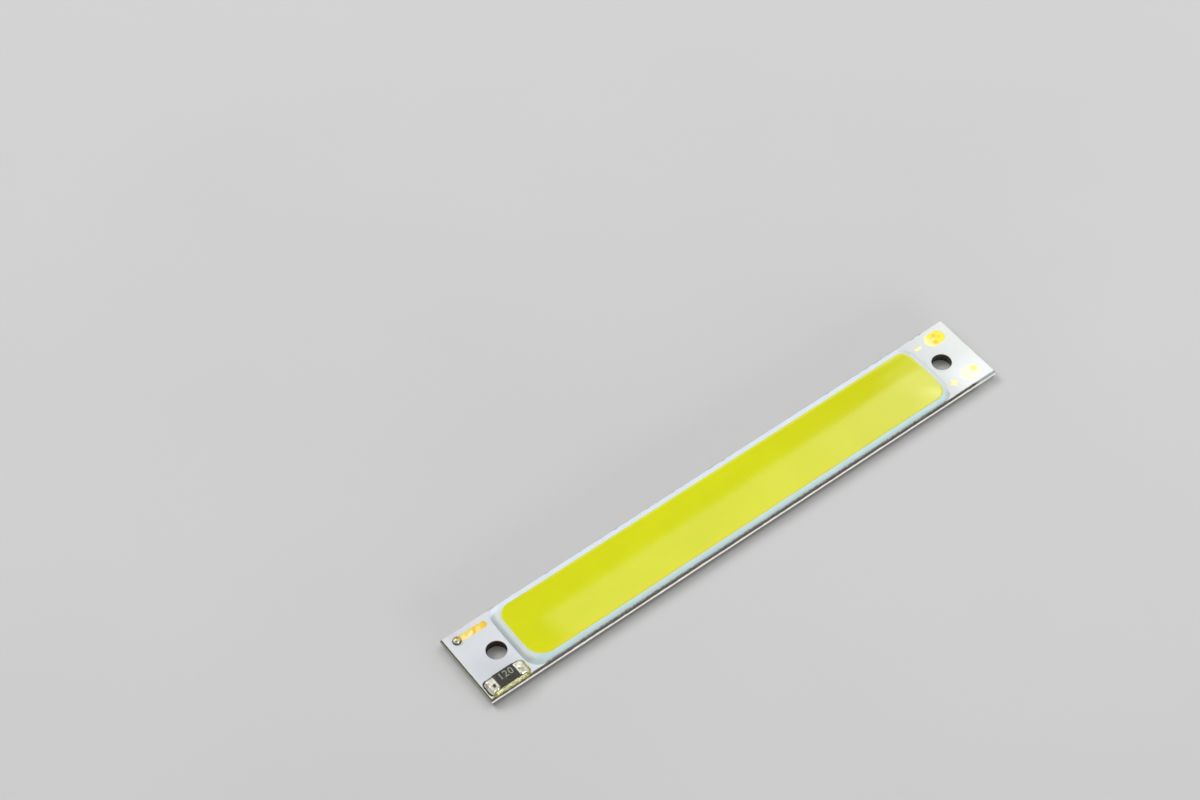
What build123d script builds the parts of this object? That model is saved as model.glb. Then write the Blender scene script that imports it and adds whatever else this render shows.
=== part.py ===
from build123d import *
import os

# A chip-on-board LED strip light. A white aluminium-core board carries a long light field: a row of bare LED
# chips under yellow phosphor gel, held in by a silicone dam. A chip resistor sits at one end, two gold-plated
# wire pads at the other, and a screw hole is near each end.
#
# Millimetres. The origin is the centre of the underside, +X runs along the board to the wire pads, +Y to the
# side of the negative pad, and +Z out of the lit face.

# Board: aluminium core, insulating layer, copper and white mask, snapped out of a scored panel
board_length = 60.0
board_width = 8.0
board_thickness = 1.0
dielectric_thickness = 0.08
copper_thickness = 0.035
mask_thickness = 0.06
upper_score_depth = 0.18
lower_score_depth = 0.4
score_half_angle = 30.0

# Screw holes
hole_diameter = 2.0
hole_end_inset = 3.4

# Light field: the line of the dam's crest, measured in from the board's edges
dam_end_inset = 5.3
dam_side_inset = 0.62
dam_width = 0.96
dam_height = 0.27
dam_end_bulge = 0.2
dam_corner_radius = 1.7
gel_edge_height = 0.25
gel_crown = 0.03
well_dam_gap = 0.2
well_corner_radius = 0.4

# LED chips, soldered face down across the gaps in a row of lands, and wired in strings of a few in series
string_count = 8
dies_per_string = 3
row_end_margin = 1.0
die_length = 1.0
die_width = 0.5
die_height = 0.15
die_pad_length = 0.3
die_pad_inset = 0.05
die_solder_thickness = 0.02

# Copper layout
row_land_width = 2.2
row_land_gap = 0.25
bus_gap = 0.5
bus_width = 0.8
bus_exposed = 0.6
track_gap = 0.35
link_width = 0.46
copper_edge_gap = 0.5
copper_corner_radius = 0.15
window_lap = 0.12
resistor_window_lap = 0.06

# Wire pads and their polarity marks
pad_length = 2.2
pad_width = 1.5
pad_corner_radius = 0.7
pad_end_inset = 2.0
pad_side_inset = 1.37
mark_spacing = 2.1
mark_span = 0.85
mark_stroke = 0.28

# Bare gold strip on the negative bus, with a dome of solder at its outer end
strip_length = 3.3
strip_width = 0.7
strip_end_inset = 1.05
strip_side_inset = 1.05
strip_corner_radius = 0.25
dome_diameter = 0.84
dome_height = 0.42
dome_end_inset = 0.07

# Chip resistor
resistor_length = 3.2
resistor_width = 1.6
resistor_height = 0.53
resistor_end_inset = 2.4
resistor_side_inset = 1.05
cap_band = 0.5
cap_plating = 0.03
overcoat_thickness = 0.05
overcoat_side_margin = 0.05

# Solder under and outside the resistor's caps, and the flux that ran out beside it
solder_film = 0.03
solder_toe = 0.42
solder_heel = 0.1
solder_rise = 0.44
solder_waist = 0.3
solder_side_margin = 0.05
solder_window_radius = 0.1
flux_length = 2.9
flux_width = 0.14
flux_height = 0.12
flux_shoulder = 0.6

# The largest corner radius of a flat outline, as a share of its shorter side
corner_share = 0.48

# Heights of the layers
dielectric_top = board_thickness - mask_thickness
base_top = dielectric_top - dielectric_thickness
copper_top = dielectric_top + copper_thickness
die_floor = copper_top + die_solder_thickness
die_top = die_floor + die_height
cap_floor = copper_top + solder_film

# Places on the board
half_length = board_length / 2
half_width = board_width / 2
hole_x = half_length - hole_end_inset
crest_x = half_length - dam_end_inset
crest_y = half_width - dam_side_inset
well_x = crest_x - dam_width / 2 - well_dam_gap
bus_inner_y = row_land_width / 2 + bus_gap
bus_outer_y = bus_inner_y + bus_width
well_y = bus_inner_y + bus_exposed
copper_y = half_width - copper_edge_gap
pad_x = half_length - pad_end_inset
pad_y = half_width - pad_side_inset
mark_x = pad_x - mark_spacing
strip_x = -half_length + strip_end_inset
strip_y = half_width - strip_side_inset
resistor_x = -half_length + resistor_end_inset
resistor_y = -half_width + resistor_side_inset
solder_reach = resistor_length / 2 + solder_toe
solder_inner = resistor_length / 2 - cap_band - solder_heel
solder_width = resistor_width - 2 * solder_side_margin
resistor_land_top = resistor_y + solder_width / 2 + resistor_window_lap
link_bottom = resistor_land_top + track_gap / 2
link_top = link_bottom + link_width
die_count = string_count * dies_per_string
die_pitch = 2 * (well_x - row_end_margin) / die_count


def prism(outline, z_low, z_high):
    """A flat outline raised between two heights."""
    return extrude(Pos(0, 0, z_low) * outline, z_high - z_low)


def rounded(length, width, radius):
    """A rounded rectangle whose corners stay within its shorter side."""
    return RectangleRounded(length, width, min(radius, corner_share * min(length, width)))


def track(x_low, x_high, y_low, y_high):
    """A round-cornered stretch of copper between four sides."""
    centre = Pos((x_low + x_high) / 2, (y_low + y_high) / 2)
    return centre * rounded(x_high - x_low, y_high - y_low, copper_corner_radius)


def board_blank():
    """The whole board with its holes. Each edge has a score above and below, and the snapped web between."""
    footprint = Rectangle(board_length, board_width)
    web_top = board_thickness - upper_score_depth
    blank = prism(footprint, lower_score_depth, web_top)
    blank += extrude(Pos(0, 0, web_top) * footprint, upper_score_depth, taper=score_half_angle)
    lower_score = extrude(Pos(0, 0, -lower_score_depth) * footprint, lower_score_depth, taper=score_half_angle)
    blank += mirror(lower_score, about=Plane.XY)
    for side in (-1, 1):
        blank -= prism(Pos(side * hole_x, 0) * Circle(hole_diameter / 2), 0, board_thickness)
    return blank


def board_layer(blank, z_low, z_high):
    """One layer of the board."""
    return blank & prism(Rectangle(board_length, board_width), z_low, z_high)


def end_pour(side):
    """Copper under one wire pad and its polarity mark. Side is 1 for negative and -1 for positive."""
    inner_y = pad_y - pad_width / 2 - window_lap
    y_low, y_high = sorted((side * inner_y, side * copper_y))
    x_low = mark_x - mark_span / 2 - window_lap
    return track(x_low, pad_x + pad_length / 2 + window_lap, y_low, y_high)


def resistor_land(side, y_high):
    """Copper under one end of the resistor, up to a given Y. Side is -1 for its outer end."""
    near = solder_inner - resistor_window_lap
    far = solder_reach + resistor_window_lap
    x_low, x_high = sorted((resistor_x + side * near, resistor_x + side * far))
    return track(x_low, x_high, resistor_y - solder_width / 2 - resistor_window_lap, y_high)


def row_land(index, y_low, y_high):
    """One square-cornered land in the row under the chips, between two sides."""
    centre = Pos((index - die_count / 2) * die_pitch, (y_low + y_high) / 2)
    return centre * Rectangle(die_pitch - row_land_gap, y_high - y_low)


def is_string_end(index):
    """Whether a land in the row is where a string starts or ends. Strings share these, back to back."""
    return index % dies_per_string == 0


def fingers(side):
    """The lands in the row that reach a bus: every other string end is on the side of the given Y sign."""
    outline = Sketch()
    y_low, y_high = sorted((-side * row_land_width / 2, side * (bus_inner_y + bus_width / 2)))
    for index in range(die_count + 1):
        on_positive_bus = index // dies_per_string % 2 == 0
        if is_string_end(index) and on_positive_bus == (side < 0):
            outline += row_land(index, y_low, y_high)
    return outline


def series_lands():
    """The lands in the row that only join one chip to the next."""
    half_row = row_land_width / 2
    between = [index for index in range(die_count + 1) if not is_string_end(index)]
    return [row_land(index, -half_row, half_row) for index in between]


def copper_negative():
    """From the negative pad along the far side to the bare strip, with fingers to the row."""
    strip_half = strip_width / 2 + window_lap
    outline = track(-well_x - window_lap, mark_x, bus_inner_y, copper_y)
    outline += track(strip_x - window_lap, -well_x + bus_width, strip_y - strip_half, strip_y + strip_half)
    return outline + end_pour(1) + fingers(1)


def copper_positive_input():
    """From the positive pad along the near edge to the resistor's inner end."""
    outline = track(resistor_x + solder_inner, mark_x, -copper_y, -bus_outer_y - track_gap)
    return outline + resistor_land(1, resistor_land_top) + end_pour(-1)


def copper_led_positive():
    """From the resistor's outer end, between it and the hole, to the bus with the other fingers."""
    link_left = resistor_x - solder_reach - resistor_window_lap
    outline = track(-well_x - window_lap, well_x, -bus_outer_y, -bus_inner_y)
    outline += track(link_left, -well_x + bus_width, link_bottom, link_top)
    return outline + resistor_land(-1, link_top) + fingers(-1)


def well_window():
    """The opening in the mask that the chips lie in."""
    return rounded(2 * well_x, 2 * well_y, well_corner_radius)


def solder_foot():
    """The outline of the opening at one end of the resistor, which the solder there fills."""
    return rounded(solder_reach - solder_inner, solder_width, solder_window_radius)


def mask_windows():
    """Every opening in the mask: the light field's, the pads', the marks', the strip's and the resistor's."""
    strip = rounded(strip_length, strip_width, strip_corner_radius)
    windows = [well_window(), Pos(strip_x + strip_length / 2, strip_y) * strip]
    for side in (-1, 1):
        windows.append(Pos(pad_x, side * pad_y) * rounded(pad_length, pad_width, pad_corner_radius))
        windows.append(Pos(mark_x, side * pad_y) * Rectangle(mark_span, mark_stroke))
        solder_centre = resistor_x + side * (solder_inner + solder_reach) / 2
        windows.append(Pos(solder_centre, resistor_y) * solder_foot())
    windows.append(Pos(mark_x, -pad_y) * Rectangle(mark_stroke, mark_span))
    return windows


def solder_mask(blank, coppers):
    """The white top layer, which fills in round the copper, covers it thinly and is open at the windows."""
    openings = [prism(window, dielectric_top, board_thickness) for window in mask_windows()]
    return board_layer(blank, dielectric_top, board_thickness) - [*coppers, *openings]


def crest_outline():
    """The area inside the dam's crest: straight sides, slightly bowed ends and round corners."""
    corner_x = crest_x - dam_end_bulge
    lines = [
        Line((-corner_x, -crest_y), (corner_x, -crest_y)),
        ThreePointArc((corner_x, -crest_y), (crest_x, 0), (corner_x, crest_y)),
        Line((corner_x, crest_y), (-corner_x, crest_y)),
        ThreePointArc((-corner_x, crest_y), (-crest_x, 0), (-corner_x, -crest_y)),
    ]
    outline = make_face(lines)
    return fillet(outline.vertices(), dam_corner_radius)


def silicone_dam():
    """A round-topped bead laid along the crest's line."""
    path = Pos(0, 0, board_thickness) * crest_outline().face().outer_wire()
    across = Vector(0, 0, 1).cross(path % 0)
    section_plane = Plane(origin=path @ 0, x_dir=across, z_dir=path % 0)
    foot = dam_width / 2
    bead = make_face([Line((-foot, 0), (foot, 0)), ThreePointArc((foot, 0), (0, dam_height), (-foot, 0))])
    return sweep(section_plane * bead, path=path)


def gel_block():
    """The gel's outer form, crowned across its width, down to the floor of the mask's well."""
    floor, edge = board_thickness, board_thickness + gel_edge_height
    crown = edge + gel_crown
    section = make_face(
        [
            Polyline((crest_y, edge), (crest_y, floor), (-crest_y, floor), (-crest_y, edge)),
            ThreePointArc((-crest_y, edge), (0, crown), (crest_y, edge)),
        ]
    )
    crowned = extrude(Plane.YZ * section, crest_x, both=True)
    block = crowned & prism(crest_outline(), board_thickness, crown)
    return block + prism(well_window(), dielectric_top, board_thickness)


def land_gaps():
    """The X of each gap between two lands in the row."""
    return [(index - (die_count - 1) / 2) * die_pitch for index in range(die_count)]


def led_dies():
    """The row of chips, each centred on a gap between two lands."""
    die = Rectangle(die_length, die_width)
    return [prism(Pos(x, 0) * die, die_floor, die_top) for x in land_gaps()]


def die_solder():
    """The two solder joints under each chip, one on each land."""
    offset = (die_length - die_pad_length) / 2 - die_pad_inset
    pad = Rectangle(die_pad_length, die_width - 2 * die_pad_inset)
    centres = [gap + side * offset for gap in land_gaps() for side in (-1, 1)]
    return [prism(Pos(x, 0) * pad, copper_top, die_floor) for x in centres]


def resistor_pieces():
    """The resistor as it stands over its lands: alumina body, black overcoat and a plated cap on each end."""
    body_floor = cap_floor + cap_plating
    body_top = cap_floor + resistor_height - cap_plating
    body_length = resistor_length - 2 * cap_plating
    centre = Pos(resistor_x, resistor_y)
    body = prism(centre * Rectangle(body_length, resistor_width), body_floor, body_top)
    overcoat_outline = Rectangle(resistor_length - 2 * cap_band, resistor_width - 2 * overcoat_side_margin)
    overcoat = prism(centre * overcoat_outline, body_top, body_top + overcoat_thickness)
    pieces = {"resistor_body": body, "resistor_overcoat": overcoat}
    for name, side in (("left", -1), ("right", 1)):
        cap_centre = centre * Pos(side * (resistor_length - cap_band) / 2, 0)
        cap = prism(cap_centre * Rectangle(cap_band, resistor_width), cap_floor, cap_floor + resistor_height)
        pieces["resistor_cap_" + name] = cap - body
    return pieces


def solder_joint(side):
    """A film under one cap and the hollow-faced fillet that climbs its end. Side is -1 for the outer end."""
    end = resistor_length / 2
    rise = copper_top + solder_rise
    waist = (end + solder_waist * solder_toe, copper_top + solder_waist * solder_rise)
    section = make_face(
        [
            Polyline((end, rise), (end, cap_floor), (solder_inner, cap_floor), (solder_inner, copper_top)),
            Line((solder_inner, copper_top), (solder_reach, copper_top)),
            ThreePointArc((solder_reach, copper_top), waist, (end, rise)),
        ]
    )
    joint = extrude(Plane.XZ * section, solder_width / 2, both=True)
    joint &= prism(Pos((solder_reach + solder_inner) / 2, 0) * solder_foot(), copper_top, rise)
    if side < 0:
        joint = mirror(joint, about=Plane.YZ)
    return Pos(resistor_x, resistor_y) * joint


def solder_dome(mask):
    """A dome of solder on the outer end of the gold strip, lapping onto the mask."""
    radius = dome_diameter / 2
    diagonal = 0.5**0.5
    shoulder = (radius * diagonal, dome_height * diagonal)
    section = make_face(
        [
            Polyline((0, dome_height), (0, 0), (radius, 0)),
            ThreePointArc((radius, 0), shoulder, (0, dome_height)),
        ]
    )
    dome = revolve(Plane.XZ * section, Axis.Z)
    return Pos(strip_x + dome_end_inset, strip_y, copper_top) * dome - mask


def flux_residue():
    """A thin bank of set flux along the resistor's side, at the board's edge."""
    side_y = resistor_y - resistor_width / 2
    foot, top = board_thickness, board_thickness + flux_height
    shoulder = (side_y - flux_width * flux_shoulder, foot + flux_height * flux_shoulder)
    section = make_face(
        [
            Polyline((side_y, top), (side_y, foot), (side_y - flux_width, foot)),
            ThreePointArc((side_y - flux_width, foot), shoulder, (side_y, top)),
        ]
    )
    return Pos(resistor_x, 0, 0) * extrude(Plane.YZ * section, flux_length / 2, both=True)


def build_nodes():
    """Every piece of the strip light, by node name. A list is a group of like pieces."""
    blank = board_blank()
    nets = {
        "copper_negative": prism(copper_negative(), dielectric_top, copper_top),
        "copper_positive_input": prism(copper_positive_input(), dielectric_top, copper_top),
        "copper_led_positive": prism(copper_led_positive(), dielectric_top, copper_top),
    }
    islands = [prism(outline, dielectric_top, copper_top) for outline in series_lands()]
    coppers = [*nets.values(), *islands]
    dies, joints = led_dies(), die_solder()
    dam = silicone_dam()
    mask = solder_mask(blank, coppers)
    nodes = {
        "aluminium_base": board_layer(blank, 0, base_top),
        "dielectric_layer": board_layer(blank, base_top, dielectric_top),
        **nets,
        "copper_series_lands": islands,
        "solder_mask": mask,
        "die_solder": joints,
        "silicone_dam": dam,
        "phosphor_gel": gel_block() - [dam, *coppers, *dies, *joints],
        **resistor_pieces(),
        "solder_joint_left": solder_joint(-1),
        "solder_joint_right": solder_joint(1),
        "solder_dome": solder_dome(mask),
        "flux_residue": flux_residue(),
    }
    nodes.update({f"led_die_{number:02d}": die for number, die in enumerate(dies, start=1)})
    return nodes


os.makedirs("parts", exist_ok=True)
for node_name, shape in build_nodes().items():
    if isinstance(shape, list):
        shape = Compound(children=[piece.solid() for piece in shape])
    export_step(shape, f"parts/{node_name}.step")
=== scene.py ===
import math
import bmesh
import bpy
from mathutils import Matrix, Vector, noise


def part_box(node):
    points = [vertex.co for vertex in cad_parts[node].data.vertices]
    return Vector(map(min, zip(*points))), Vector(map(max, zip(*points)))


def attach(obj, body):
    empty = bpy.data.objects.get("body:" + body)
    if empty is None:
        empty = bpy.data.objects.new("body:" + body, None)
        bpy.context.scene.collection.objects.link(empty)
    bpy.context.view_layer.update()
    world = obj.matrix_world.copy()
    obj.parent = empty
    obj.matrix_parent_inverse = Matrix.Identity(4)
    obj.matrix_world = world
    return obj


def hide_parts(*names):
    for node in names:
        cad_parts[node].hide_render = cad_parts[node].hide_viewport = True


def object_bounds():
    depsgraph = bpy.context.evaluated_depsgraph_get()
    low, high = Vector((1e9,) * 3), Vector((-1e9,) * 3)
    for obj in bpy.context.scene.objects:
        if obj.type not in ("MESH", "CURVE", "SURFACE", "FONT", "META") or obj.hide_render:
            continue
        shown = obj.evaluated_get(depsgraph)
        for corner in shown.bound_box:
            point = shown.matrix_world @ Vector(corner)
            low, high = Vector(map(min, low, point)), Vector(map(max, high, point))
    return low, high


# The looks of a chip-on-board LED strip light: an aluminium-core board under white mask, a long field of
# yellow phosphor gel in a silicone dam, gold-plated pads, and a chip resistor with its solder.
#
# Lengths are written in millimetres and become metres when a piece is made. The board lies on the floor, +X
# runs along it to the wire pads, +Y to the side of the negative pad, and +Z is up.

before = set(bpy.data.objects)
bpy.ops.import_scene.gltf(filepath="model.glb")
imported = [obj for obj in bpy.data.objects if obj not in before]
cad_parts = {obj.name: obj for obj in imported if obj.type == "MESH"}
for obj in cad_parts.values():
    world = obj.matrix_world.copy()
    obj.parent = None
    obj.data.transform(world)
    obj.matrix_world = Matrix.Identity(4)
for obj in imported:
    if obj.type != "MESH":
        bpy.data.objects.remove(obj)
cad_low, cad_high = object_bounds()

MM = 0.001


def box_mm(node):
    """The lowest and highest corner of a CAD node, in millimetres."""
    low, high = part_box(node)
    return low / MM, high / MM


# Sizes read from the CAD nodes
half_length, half_width = box_mm("aluminium_base")[1].xy
base_top = box_mm("aluminium_base")[1].z
mask_floor, mask_top = box_mm("solder_mask")[0].z, box_mm("solder_mask")[1].z
copper_top = box_mm("copper_negative")[1].z
dam_high = box_mm("silicone_dam")[1]
body_low, body_high = box_mm("resistor_body")
resistor_x, resistor_y = ((body_low + body_high) / 2).xy
body_half_length, body_half_width = ((body_high - body_low) / 2).xy
cap_low, cap_high = box_mm("resistor_cap_right")
overcoat_low, overcoat_high = box_mm("resistor_overcoat")
joint_high = box_mm("solder_joint_right")[1]
dome_low, dome_high = box_mm("solder_dome")
hole_end_inset = 3.4
hole_x = half_length - hole_end_inset
hole_radius = 1.0

# Score and break along the board's edges
upper_score_depth = 0.18
lower_score_depth = 0.4
score_slope = math.tan(math.radians(30))
edge_step = 0.12
web_top = mask_top - upper_score_depth
rim_width = upper_score_depth * score_slope + 0.01
# A chipped stretch of the upper rim near the near right corner, in distance along the near side
corner_chip_start = (57.6, 58.4)
corner_chip_end = (59.6, 59.2)
corner_chip_depth = 0.08
# How much the ends are torn and chipped, as a share of the sides
end_wear = 0.4

# Light field. Each end of a line round it has its X, its bow, and its near and far corner radius
bead_half = 0.48
foot_y = dam_high.y - 0.03
foot_left_end = (dam_high.x + 0.06, 0.1, 1.6, 1.2)
foot_right_end = (dam_high.x + 0.18, 0.25, 1.7, 1.6)
crest_y = dam_high.y - bead_half
crest_left_end = (dam_high.x - bead_half - 0.2, 0.12, 2.0, 1.45)
crest_right_end = (dam_high.x - bead_half + 0.02, 0.27, 1.35, 1.15)
side_steps = 170
gel_near_inset, gel_inset = 0.06, 0.11
gel_edge_drop = 0.016
gel_crown = 0.018
gel_floor = 0.05


# Meshes


def ripple(*place, size=1.0, seed=0.0):
    """Smooth noise from about -1 to 1 at a place, with bumps of a given size in millimetres."""
    x, y, z = (*place, 0.0, 0.0)[:3]
    return noise.noise(Vector((x / size + seed, y / size - seed, z / size + 2.7 * seed)))


def smooth_step(low, high, value):
    """0 below the low value, 1 above the high value, and an S-shaped rise between."""
    t = min(1.0, max(0.0, (value - low) / (high - low)))
    return t * t * (3 - 2 * t)


def loft(shape, rings, around=True, closed=False):
    """Adds quads between rings of points, with as many points in each, and returns the rings' vertices.
    A closed loft joins its last ring to its first."""
    made = [[shape.verts.new(point) for point in ring] for ring in rings]
    count = len(made[0])
    following = made[1:] + made[:1] if closed else made[1:]
    for lower, upper in zip(made, following):
        for i in range(count if around else count - 1):
            j = (i + 1) % count
            shape.faces.new((lower[i], lower[j], upper[j], upper[i]))
    return made


def fill(shape, loops):
    """Closes the flat area inside the first loop of vertices and outside the others."""
    edges = [shape.edges.get(pair) for loop in loops for pair in zip(loop, loop[1:] + loop[:1])]
    bmesh.ops.triangle_fill(shape, edges=edges, use_beauty=True)


def close_below(shape, top, floor):
    """Closes a lofted surface with walls down to a level floor."""
    boundary = top[0] + [row[-1] for row in top[1:-1]] + top[-1][::-1] + [row[0] for row in top[-2:0:-1]]
    lower = [shape.verts.new((v.co.x, v.co.y, floor)) for v in boundary]
    for i in range(len(boundary)):
        j = (i + 1) % len(boundary)
        shape.faces.new((boundary[i], boundary[j], lower[j], lower[i]))
    shape.faces.new(lower)


def new_object(name, data):
    """Puts an object into the scene."""
    made = bpy.data.objects.new(name, data)
    bpy.context.scene.collection.objects.link(made)
    return made


def add_piece(name, shape, material, slot_name, *stands_for, sharp_angle=40):
    """Adds a piece from a bmesh in millimetres, which rides on the board and stands for CAD nodes."""
    bmesh.ops.recalc_face_normals(shape, faces=shape.faces)
    bmesh.ops.scale(shape, vec=(MM, MM, MM), verts=shape.verts)
    mesh = bpy.data.meshes.new(name)
    shape.to_mesh(mesh)
    shape.free()
    if "custom_normal" in mesh.attributes:
        mesh.attributes.remove(mesh.attributes["custom_normal"])
    mesh.shade_smooth()
    mesh.set_sharp_from_angle(angle=math.radians(sharp_angle))
    mesh.materials.append(material)
    piece = new_object(name, mesh)
    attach(piece, "root")
    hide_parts(*stands_for)


# Materials


def rgb(red, green, far_side_light):
    """A colour as it shows on a screen, 0 to 255, in the linear values that shaders take."""
    levels = [level / 255 for level in (red, green, far_side_light)]
    return (*[v / 12.92 if v <= 0.04045 else ((v + 0.055) / 1.055) ** 2.4 for v in levels], 1.0)


class Surface:
    """A material in the making: one Principled shader, and textures in millimetres on the object."""

    def __init__(self, name, constants):
        self.material = bpy.data.materials.new(name)
        self.material.use_nodes = True
        self.tree = self.material.node_tree
        self.shader = self.tree.nodes["Principled BSDF"]
        for socket, value in constants.items():
            self.shader.inputs[socket].default_value = value
        coordinates = self.tree.nodes.new("ShaderNodeTexCoord")
        inputs = {0: coordinates.outputs["Object"], "Scale": 1 / MM}
        self.place = self.node("ShaderNodeVectorMath", inputs, operation="SCALE").outputs[0]
        split = self.node("ShaderNodeSeparateXYZ", {"Vector": self.place})
        self.x, self.y, self.z = split.outputs

    def node(self, kind, inputs, **settings):
        """Adds a node. An input is another node's output, or a plain value."""
        made = self.tree.nodes.new(kind)
        for key, value in settings.items():
            setattr(made, key, value)
        for key, value in inputs.items():
            if isinstance(value, bpy.types.NodeSocket):
                self.tree.links.new(value, made.inputs[key])
            else:
                made.inputs[key].default_value = value
        return made

    def math(self, operation, first, second=0.0, third=0.0):
        """A sum on numbers."""
        return self.node("ShaderNodeMath", {0: first, 1: second, 2: third}, operation=operation).outputs[0]

    def times(self, first, second):
        """A product."""
        return self.math("MULTIPLY", first, second)

    def minus(self, first, second):
        """A difference."""
        return self.math("SUBTRACT", first, second)

    def scaled(self, value, factor, plus):
        """A number times a factor, plus another number."""
        return self.math("MULTIPLY_ADD", value, factor, plus)

    def noise(self, size, detail=3.0, roughness=0.5, stretch=(1, 1, 1)):
        """Noise from 0 to 1 whose bumps are about the given size in millimetres."""
        place = self.node("ShaderNodeVectorMath", {0: self.place, 1: stretch}, operation="MULTIPLY")
        inputs = {"Vector": place.outputs[0], "Scale": 1 / size, "Detail": detail, "Roughness": roughness}
        return self.node("ShaderNodeTexNoise", inputs).outputs["Fac"]

    def between(self, value, low, high):
        """0 where a value is at its low limit, 1 at its high limit, and a smooth rise between."""
        inputs = {"Value": value, "From Min": low, "From Max": high}
        made = self.node("ShaderNodeMapRange", inputs, interpolation_type="SMOOTHSTEP")
        return made.outputs["Result"]

    def away_from(self, x, y):
        """The distance from a point of the board, in plan."""
        off_x, off_y = self.minus(self.x, x), self.minus(self.y, y)
        return self.math("SQRT", self.scaled(off_x, off_x, self.times(off_y, off_y)))

    def spot(self, x, y, radius):
        """1 round a point of the board and 0 beyond an uneven, soft circle."""
        uneven = self.scaled(self.minus(self.noise(0.3), 0.5), 0.2, self.away_from(x, y))
        return self.between(uneven, radius * 1.3, radius * 0.5)

    def mix(self, share, first, second):
        """A colour between two others."""
        inputs = {"Factor": share, 6: first, 7: second}
        return self.node("ShaderNodeMix", inputs, data_type="RGBA").outputs[2]

    def ramp(self, value, *stops):
        """A colour picked by a number. Each stop is its position and its colour."""
        made = self.node("ShaderNodeValToRGB", {"Fac": value})
        elements = made.color_ramp.elements
        while len(elements) < len(stops):
            elements.new(0.5)
        for element, (position, colour) in zip(elements, stops):
            element.position = position
            element.color = colour
        return made.outputs["Color"]

    def blend(self, value, dark, pale, low=0.3, high=0.7):
        """A colour picked by a number between two others, given as they show on a screen."""
        return self.ramp(value, (low, rgb(*dark)), (high, rgb(*pale)))

    def bump(self, *layers):
        """Relief. Each layer is its height from 0 to 1 and what 1 stands for in millimetres."""
        normal = None
        for height, tall in layers:
            inputs = {"Height": height, "Distance": tall * MM, "Strength": 1.0}
            if normal is not None:
                inputs["Normal"] = normal
            normal = self.node("ShaderNodeBump", inputs).outputs["Normal"]
        self.set("Normal", normal)

    def set(self, socket, value):
        """Drives one of the shader's sockets."""
        self.tree.links.new(value, self.shader.inputs[socket])

    def coloured(self, colour):
        """Sets the colour and returns the finished material."""
        self.set("Base Color", colour)
        return self.material

    def rough(self, value, low, high):
        """Sets the roughness, by a number from 0 to 1, between two levels."""
        self.set("Roughness", self.scaled(value, high - low, low))


def near_resistor(surface, spread):
    """1 beside the resistor and 0 from a given distance on, along an uneven border."""
    away = []
    for place, centre, reach in (
        (surface.x, resistor_x, body_half_length + 0.4),
        (surface.y, resistor_y, body_half_width),
    ):
        from_centre = surface.math("ABSOLUTE", surface.minus(place, centre))
        away.append(surface.minus(from_centre, reach))
    farther = surface.math("MAXIMUM", *away)
    uneven = surface.scaled(surface.noise(0.35), spread, farther)
    return surface.between(uneven, 1.5 * spread, 0.3 * spread)


def on_rim(surface):
    """1 on the sloping outer faces of the board's upper edge and 0 on its level top."""
    past_x = surface.minus(surface.math("ABSOLUTE", surface.x), half_length)
    past_y = surface.minus(surface.math("ABSOLUTE", surface.y), half_width)
    outside = surface.between(surface.math("MAXIMUM", past_x, past_y), -0.25, -0.2)
    return surface.times(outside, surface.between(surface.z, mask_top - 0.004, mask_top - 0.02))


# The near edge is darkened partly by dirt and partly by painted shade.
def near_rim_dirt_and_shade(surface, start):
    """1 along the board's near side, beyond a given distance from its middle line, with a ragged border."""
    ragged = surface.scaled(surface.noise(0.35), -0.12, surface.y)
    return surface.between(ragged, 0.03 - start, -0.03 - start)


def mask_material():
    """White solder mask: satin, very slightly blue, with a fine orange peel, a cut edge darkened by dirt and
    painted shade, and painted light and a painted sheen towards its right end.
    """
    surface = Surface("white_mask", {"IOR": 1.5})
    cloud = surface.noise(3.5)
    colour = surface.blend(cloud, (220, 223, 228), (228, 231, 235))
    # Towards the right end the white first dims a little, then grows lighter: painted light on the brightly
    # lit right end, and a painted sheen by the plus pad.
    colour = surface.mix(surface.between(surface.x, 20.0, 25.0), colour, rgb(219, 223, 223))
    colour = surface.mix(surface.between(surface.x, 24.5, 29.8), colour, rgb(233, 238, 235))
    to_right, to_near = surface.between(surface.x, 24.8, 27.5), surface.between(surface.y, 0.3, -2.4)
    colour = surface.mix(surface.times(to_right, to_near), colour, rgb(244, 248, 248))
    specks = surface.between(surface.noise(0.09, detail=1), 0.74, 0.80)
    colour = surface.mix(surface.times(specks, 0.4), colour, rgb(170, 170, 168))
    stain = surface.times(near_resistor(surface, 0.22), 0.45)
    colour = surface.mix(stain, colour, rgb(190, 188, 140))
    # Dirt and painted shade darken the rim's sloping faces and a strip along the near side.
    dirt_and_shade = surface.blend(surface.noise(0.25), (40, 38, 32), (80, 76, 67), 0.35, 0.7)
    clean = surface.blend(surface.noise(0.25), (140, 152, 156), (176, 188, 192), 0.4, 0.6)
    dirt_and_shade = surface.mix(surface.between(surface.x, 27.3, 28.3), dirt_and_shade, clean)
    dirt_and_shade = surface.mix(surface.between(surface.x, -29.6, -29.8), dirt_and_shade, rgb(142, 149, 141))
    dirty_and_shaded = surface.math("MAXIMUM", on_rim(surface), near_rim_dirt_and_shade(surface, 3.90))
    surface.rough(surface.noise(0.6), 0.27, 0.37)
    surface.bump((surface.noise(0.45), 0.004), (surface.noise(0.07), 0.0012))
    return surface.coloured(surface.mix(dirty_and_shaded, colour, dirt_and_shade))


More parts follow.
